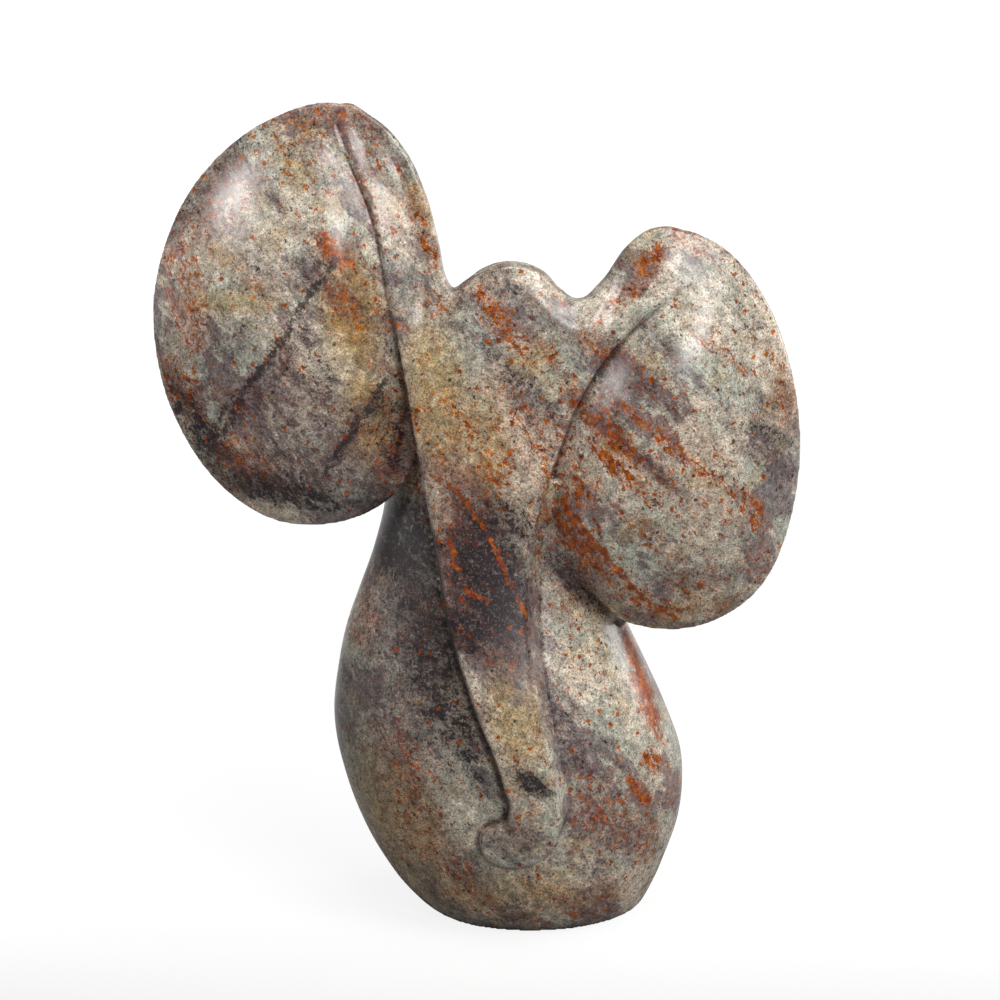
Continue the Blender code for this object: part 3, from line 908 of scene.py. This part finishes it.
def makeSpeckGroup():
    # round specks, of which only a share shows
    group, start, end = startGroup("specks", {"Vector": None, "Scale": 0.2, "Radius": 0.15, "Share": 0.5})
    cells = addNode(group, "TexVoronoi", {"Vector": start["Vector"], "Scale": start["Scale"]})
    parts = addNode(group, "SeparateColor", {"Color": cells.outputs["Color"]})
    size = maths(group, "MULTIPLY_ADD", parts.outputs[1], 0.7, 0.5)
    radius = maths(group, "MULTIPLY", size, start["Radius"])
    core = maths(group, "MULTIPLY", radius, 0.7)
    speck = ranged(group, cells.outputs["Distance"], core, radius, 1.0, 0.0, "LINEAR")
    kept = maths(group, "LESS_THAN", parts.outputs[0], start["Share"])
    group.links.new(maths(group, "MULTIPLY", speck, kept), end["Mask"])
    return group


def useGroup(tree, group, inputs):
    return addNode(tree, "Group", inputs, node_tree=group).outputs[0]


def shifted(tree, vector, scale, amount, detail, seed):
    # the place moved about by noise, so that marks get natural edges
    inputs = {"Vector": vector, "W": seed, "Scale": scale, "Detail": detail}
    wave = addNode(tree, "TexNoise", inputs, noise_dimensions="4D").outputs["Color"]
    centred = vectors(tree, "SUBTRACT", wave, (0.5, 0.5, 0.5))
    return vectors(tree, "ADD", vector, scaled(tree, centred, amount))


finishShape = {
    "streakTurn": 48,
    "streakStretch": 0.34,
    "tone": 0.96,
    "saturation": 1.18,
    "grain": 0.55,
    "mottle": 0.46,
    # painted crease shade: the hollow at which it starts and is full, and how dark it gets
    "creaseShadeStart": 0.03,
    "creaseShadeFull": 0.35,
    "creaseShadeDark": 0.95,
    "roughness": 0.26,
    "mottleRoughness": 0.16,
    "coarseRoughness": 0.25,
    "bump": 0.02,
    "bumpStrength": 0.25,
    "ior": 1.55,
}


def buildFinish(shape):
    material, tree, shader = startMaterial("polishedStone")
    colours = {name: shown(colour) for name, colour in stoneColours.items()}
    cloudGroup = makeCloudGroup()
    fleckGroup = makeFleckGroup()
    veinGroup = makeVeinGroup()
    speckGroup = makeSpeckGroup()
    pixel = cameraShape["distance"] / unit / cameraView()[-1]

    # places in drawing units, and the same turned and drawn out along the run of the stone
    start = addNode(tree, "TexCoord")
    drawn = addNode(tree, "Mapping", {"Vector": start.outputs["Object"], "Scale": (1 / unit,) * 3})
    place = drawn.outputs[0]
    bent = shifted(tree, place, 0.03, 12, 1, 3.0)
    turn = {"Vector": bent, "Angle": -math.radians(shape["streakTurn"])}
    turned = addNode(tree, "VectorRotate", turn, rotation_type="Y_AXIS").outputs[0]
    run = addNode(tree, "Mapping", {"Vector": turned, "Scale": (shape["streakStretch"], 0.7, 1)})
    streaks = run.outputs[0]
    soft = addNode(tree, "Mapping", {"Vector": turned, "Scale": (0.62, 0.9, 1)})
    softRun = soft.outputs[0]
    fine = shifted(tree, place, 0.10, 5, 3, 5.0)

    def cloud(vector, seed, scale, low, high, detail=5.0, rough=0.6):
        return useGroup(tree, cloudGroup, {
            "Vector": vector, "Seed": seed, "Scale": scale, "Low": low, "High": high,
            "Detail": detail, "Roughness": rough,
        })

    def flecks(vector, seed, scale, rare, density, reach=0.30, detail=3.0, rough=0.65):
        return useGroup(tree, fleckGroup, {
            "Vector": vector, "Seed": seed, "Scale": scale, "Rare": rare, "Density": density,
            "Reach": reach, "Detail": detail, "Roughness": rough,
        })

    def placed(name):
        # where the placed patches of that mineral lie, painted shade and painted highlight patches among them
        return addNode(tree, "Attribute", attribute_name=name).outputs["Fac"]

    def placedVeins(name):
        total = None
        for kind, line, depth, width, strength in stoneVeins:
            if kind == name:
                for k in range(len(line) - 1):
                    x, z = seenAt(*line[k], depth)
                    nextX, nextZ = seenAt(*line[k + 1], depth)
                    mask = useGroup(tree, veinGroup, {
                        "Vector": fine, "Start": (x, 0, z), "Run": (nextX - x, 0, nextZ - z),
                        "Width": 2.0 * width * pixel, "Strength": strength,
                    })
                    total = mask if total is None else maths(tree, "MAXIMUM", total, mask)
        return total

    def dense(name, clouds, share):
        # how dense a mineral is: its placed patches, and that share of its own clouds elsewhere
        return maths(tree, "MAXIMUM", placed(name), maths(tree, "MULTIPLY", clouds, share))

    def laid(colour, mask, share, tone):
        # the colour with the tone over it where the mask is, at that share of its full strength
        return mixColours(tree, maths(tree, "MULTIPLY", mask, share), colour, tone)

    def varied(colour, wave, low, high, amount, tone=1.0):
        # the colour made darker and lighter by noise
        light = ranged(tree, wave, low, high, tone * (1 - amount), tone * (1 + amount), "LINEAR")
        return mixColours(tree, 1.0, colour, light, "MULTIPLY")

    # pale ground, cream and grey-green, with lilac-grey clouds and ochre stains
    cream = maths(tree, "MAXIMUM", cloud(place, 1.0, 0.040, 0.44, 0.60), placed("cream"))
    cream = maths(tree, "SUBTRACT", cream, placed("paleGreen"), clamp=True)
    colour = mixColours(tree, cream, colours["paleGreen"], colours["cream"])
    lilac = flecks(streaks, 2.0, 0.10, 0.58, cloud(place, 2.5, 0.035, 0.40, 0.62, 3.0), 0.14, 6.0, 0.75)
    lilac = maths(tree, "SUBTRACT", maths(tree, "MULTIPLY", lilac, 0.75), placed("cream"), clamp=True)
    colour = mixColours(tree, lilac, colour, colours["midGrey"])
    ochre = dense("ochre", cloud(place, 4.0, 0.05, 0.52, 0.7), 0.5)
    ochre = maths(tree, "MULTIPLY", ochre, cloud(place, 4.5, 0.30, 0.22, 0.52, 5.0, 0.7))
    colour = mixColours(tree, ochre, colour, colours["ochre"])

    # where the purple-grey, dark and rusty minerals are dense
    purpleDensity = dense("purpleGrey", cloud(streaks, 3.0, 0.06, 0.48, 0.66, 4.0), 0.60)
    darkDensity = dense("darkPurple", cloud(streaks, 5.0, 0.07, 0.58, 0.72, 4.0), 0.45)
    rustDensity = dense("rust", cloud(streaks, 6.5, 0.05, 0.42, 0.62, 4.0), 0.42)
    rustTone = mixColours(tree, cloud(place, 7.5, 0.5, 0.4, 0.6, 2.0), colours["rust"], colours["darkRust"])

    # each as a run-together stain, as flecks, and as fine grains
    for density, seed, tone, (stainShare, fleckShare, grainShare) in (
        (purpleDensity, 30.0, colours["purpleGrey"], (0.90, 0.70, 0.40)),
        (rustDensity, 50.0, rustTone, (0.35, 0.90, 0.60)),
        (darkDensity, 40.0, colours["darkPurple"], (0.85, 0.90, 0.75)),
    ):
        stain = maths(tree, "MULTIPLY", density, cloud(softRun, seed, 0.26, 0.30, 0.52, 5.0, 0.78))
        colour = laid(colour, stain, stainShare, tone)
        spots = flecks(softRun, seed + 1, 0.42, 0.64, density, 0.20, 4.0, 0.78)
        colour = laid(colour, spots, fleckShare, tone)
        grains = flecks(place, seed + 2, 1.05, 0.61, density, 0.12, 2.0, 0.7)
        colour = laid(colour, grains, grainShare, tone)
    paleGrains = flecks(place, 60.0, 1.2, 0.64, purpleDensity, 0.08, 2.0, 0.7)
    colour = laid(colour, paleGrains, 0.16, colours["cream"])

    # placed veins, ragged at their edges
    facing = addNode(tree, "SeparateXYZ", {"Vector": start.outputs["Normal"]}).outputs["Y"]
    front = ranged(tree, facing, 0.1, -0.2, kind="LINEAR")
    rustVeins = maths(tree, "MULTIPLY", front, placedVeins("rust"))
    rustVeins = flecks(softRun, 8.0, 0.50, 0.74, rustVeins, 0.36, 4.0, 0.78)
    colour = laid(colour, rustVeins, 0.80, rustTone)
    darkVeins = maths(tree, "MULTIPLY", front, placedVeins("darkPurple"))
    darkVeins = flecks(place, 9.0, 0.50, 0.72, darkVeins, 0.34, 4.0, 0.85)
    colour = laid(colour, darkVeins, 0.80, colours["darkPurple"])

    # single specks
    speckPlace = shifted(tree, place, 0.9, 2.2, 2, 4.0)
    for scale, radius, share, tone in ((0.30, 0.27, 0.42, rustTone), (0.24, 0.17, 0.50, colours["black"])):
        dots = {"Vector": speckPlace, "Scale": scale, "Radius": radius, "Share": share}
        colour = laid(colour, useGroup(tree, speckGroup, dots), 0.85, tone)
    colour = addNode(tree, "HueSaturation", {"Color": colour, "Saturation": shape["saturation"]}).outputs[0]

    # painted shade darkening the creases, mottling, and salt and pepper grain
    shadedCreases = mixColours(tree, 1.0, colour, colours["deep"], "MULTIPLY")
    hollow = placed("hollow")
    hollow = ranged(tree, hollow, shape["creaseShadeStart"], shape["creaseShadeFull"], 0.0, shape["creaseShadeDark"])
    colour = mixColours(tree, hollow, colour, shadedCreases)
    mottle = addNode(tree, "TexNoise", {"Vector": place, "Scale": 0.30, "Detail": 5.0, "Roughness": 0.78})
    colour = varied(colour, mottle.outputs["Fac"], 0.35, 0.65, shape["mottle"], shape["tone"])
    grain = addNode(tree, "TexNoise", {"Vector": place, "Scale": 1.6, "Detail": 2.0, "Roughness": 0.8})
    colour = varied(colour, grain.outputs["Fac"], 0.3, 0.7, shape["grain"])
    tree.links.new(colour, shader.inputs["Base Color"])

    # polish: duller where the grain is open, and where the stone is coarse
    least = shape["roughness"] - shape["mottleRoughness"] / 2
    dull = maths(tree, "MULTIPLY_ADD", mottle.outputs["Fac"], shape["mottleRoughness"], least)
    coarse = maths(tree, "MULTIPLY", placed("coarse"), shape["coarseRoughness"])
    tree.links.new(maths(tree, "ADD", dull, coarse), shader.inputs["Roughness"])
    relief = {
        "Height": grain.outputs["Fac"], "Strength": shape["bumpStrength"], "Distance": shape["bump"] * unit,
    }
    tree.links.new(addNode(tree, "Bump", relief).outputs[0], shader.inputs["Normal"])
    shader.inputs["IOR"].default_value = shape["ior"]
    return material


carvedStone = buildStone(stoneShape)
markMineralsAndPaintedLight(carvedStone.data, stonePatches)
carvedStone.data.materials.append(buildFinish(finishShape))
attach(carvedStone, "root")
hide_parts("stone_elephant")


# Floor, light and camera
figureMiddle = (0, 0, 0.14)
setShape = {
    "floorSize": 8.0,
    "floorColour": (0.15, 0.15, 0.15, 1),
    "floorBounce": (0.22, 0.22, 0.22, 1),
    "floorGlow": (0.58, 0.88),
    "glowFrom": -0.20,
    "glowTo": 0.02,
    # the depths between which it turns plain white
    "whiteBetween": (0.0, 0.5),
    "worldColour": (1.0, 0.99, 0.98, 1),
    "worldStrength": 0.12,
    # azimuth to the right of the front, elevation, distance, size, power, spread in degrees, and its aim
    "softboxes": {
        "overhead": (30, 82, 1.4, 0.9, 11, 180, figureMiddle),
        "highRight": (48, 48, 1.4, 0.7, 9, 180, figureMiddle),
        "rightFront": (24, 26, 1.5, 0.5, 7.5, 180, figureMiddle),
        "farRight": (106, 12, 1.4, 0.5, 4.5, 180, figureMiddle),
        "farLeft": (-78, 4, 1.4, 0.5, 1.0, 180, (0, 0, 0.12)),
        "leftEar": (-52, 24, 0.5, 0.16, 0.02, 16, (-0.098, -0.01, 0.228)),
    },
}


def buildFloor(shape):
    # pale paper that brightens to white behind the figure, and throws little light back up at it
    bm = bmesh.new()
    bmesh.ops.create_grid(bm, x_segments=8, y_segments=8, size=shape["floorSize"] / 2)
    floor = toObject("floor", bm)
    material, tree, shader = startMaterial("floorPaper")
    shader.inputs["Roughness"].default_value = 0.9
    shader.inputs["Emission Color"].default_value = (1, 1, 1, 1)
    place = addNode(tree, "TexCoord")
    split = addNode(tree, "SeparateXYZ", {"Vector": place.outputs["Object"]})
    glow = ranged(tree, split.outputs["Y"], shape["glowFrom"], shape["glowTo"], *shape["floorGlow"])
    seen = addNode(tree, "LightPath").outputs["Is Camera Ray"]
    lift = maths(tree, "MULTIPLY", seen, glow)
    white = ranged(tree, split.outputs["Y"], *shape["whiteBetween"], kind="LINEAR")
    tree.links.new(maths(tree, "MAXIMUM", lift, white), shader.inputs["Emission Strength"])
    paper = mixColours(tree, seen, shape["floorBounce"], shape["floorColour"])
    tree.links.new(paper, shader.inputs["Base Color"])
    floor.data.materials.append(material)


def aim(obj, place, target):
    obj.location = place
    obj.rotation_euler = (Vector(target) - Vector(place)).to_track_quat("-Z", "Y").to_euler()


def addSoftbox(name, azimuth, elevation, distance, size, power, spread, target):
    light = bpy.data.lights.new(name, "AREA")
    light.shape = "DISK"
    light.size = size
    light.energy = power
    light.spread = math.radians(spread)
    side = math.radians(azimuth)
    rise = math.radians(elevation)
    way = Vector((math.sin(side) * math.cos(rise), -math.cos(side) * math.cos(rise), math.sin(rise)))
    aim(linked(name, light), Vector(target) + distance * way, target)


def setWorld(shape):
    world = bpy.data.worlds.new("studio")
    world.use_nodes = True
    background = world.node_tree.nodes["Background"]
    background.inputs["Color"].default_value = shape["worldColour"]
    # dim for the light it throws, and plain white where the camera sees it
    seen = addNode(world.node_tree, "LightPath").outputs["Is Camera Ray"]
    strength = ranged(world.node_tree, seen, 0.0, 1.0, shape["worldStrength"], 1.0, "LINEAR")
    world.node_tree.links.new(strength, background.inputs["Strength"])
    bpy.context.scene.world = world


def addCamera(shape):
    elevation = math.radians(shape["elevation"])
    target = Vector(shape["target"])
    lens = bpy.data.cameras.new("camera")
    lens.sensor_width = shape["sensor"]
    lens.lens = shape["lens"]
    camera = linked("camera", lens)
    place = target + shape["distance"] * Vector((0, -math.cos(elevation), math.sin(elevation)))
    aim(camera, place, target)
    bpy.context.scene.camera = camera


buildFloor(setShape)
for name, light in setShape["softboxes"].items():
    addSoftbox(name, *light)
setWorld(setShape)
addCamera(cameraShape)
bpy.context.scene.view_settings.view_transform = "Standard"
print("floor, light and camera set")
